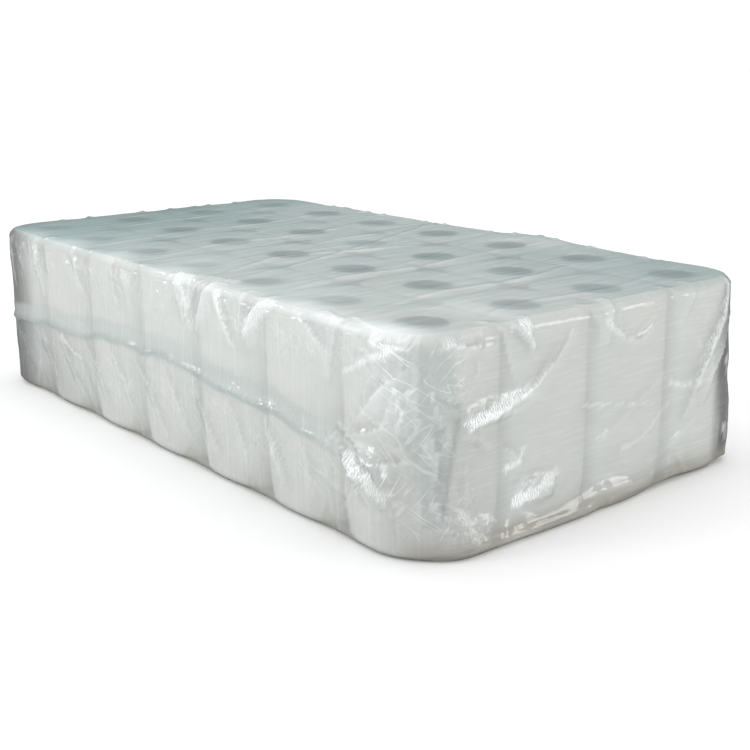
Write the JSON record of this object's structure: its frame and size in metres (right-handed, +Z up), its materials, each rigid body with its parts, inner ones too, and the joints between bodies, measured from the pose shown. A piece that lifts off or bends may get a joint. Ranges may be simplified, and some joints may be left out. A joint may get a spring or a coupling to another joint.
{
  "type": "toilet roll bale",
  "caption": "Bale of toilet rolls stood on end in close-packed layered rows, sealed in one bag of clear welded film.",
  "frame": {"origin": "on the ground, under the middle of the bale", "axes": "+X along the bale's length, +Y across it, +Z up, along the rolls' cores"},
  "size_m": [0.8082, 0.447, 0.1948],
  "materials": {
    "paper": "soft embossed white tissue, matt",
    "core_card": "grey-brown spiral-wound card, matt",
    "film": "thin clear film with a faint cool haze, glossy, creased"
  },
  "bodies": {
    "root": {"cores_lower": "core_card", "cores_upper": "core_card", "film_wrap": "film", "roll_lower_row1_col1": "paper", "roll_lower_row1_col2": "paper", "roll_lower_row1_col3": "paper", "roll_lower_row1_col4": "paper", "roll_lower_row1_col5": "paper", "roll_lower_row1_col6": "paper", "roll_lower_row1_col7": "paper", "roll_lower_row2_col1": "paper", "roll_lower_row2_col2": "paper", "roll_lower_row2_col3": "paper", "roll_lower_row2_col4": "paper", "roll_lower_row2_col5": "paper", "roll_lower_row2_col6": "paper", "roll_lower_row2_col7": "paper", "roll_lower_row3_col1": "paper", "roll_lower_row3_col2": "paper", "roll_lower_row3_col3": "paper", "roll_lower_row3_col4": "paper", "roll_lower_row3_col5": "paper", "roll_lower_row3_col6": "paper", "roll_lower_row3_col7": "paper", "roll_lower_row4_col1": "paper", "roll_lower_row4_col2": "paper", "roll_lower_row4_col3": "paper", "roll_lower_row4_col4": "paper", "roll_lower_row4_col5": "paper", "roll_lower_row4_col6": "paper", "roll_lower_row4_col7": "paper", "roll_upper_row1_col1": "paper", "roll_upper_row1_col2": "paper", "roll_upper_row1_col3": "paper", "roll_upper_row1_col4": "paper", "roll_upper_row1_col5": "paper", "roll_upper_row1_col6": "paper", "roll_upper_row1_col7": "paper", "roll_upper_row2_col1": "paper", "roll_upper_row2_col2": "paper", "roll_upper_row2_col3": "paper", "roll_upper_row2_col4": "paper", "roll_upper_row2_col5": "paper", "roll_upper_row2_col6": "paper", "roll_upper_row2_col7": "paper", "roll_upper_row3_col1": "paper", "roll_upper_row3_col2": "paper", "roll_upper_row3_col3": "paper", "roll_upper_row3_col4": "paper", "roll_upper_row3_col5": "paper", "roll_upper_row3_col6": "paper", "roll_upper_row3_col7": "paper", "roll_upper_row4_col1": "paper", "roll_upper_row4_col2": "paper", "roll_upper_row4_col3": "paper", "roll_upper_row4_col4": "paper", "roll_upper_row4_col5": "paper", "roll_upper_row4_col6": "paper", "roll_upper_row4_col7": "paper"}
  },
  "joints": []
}
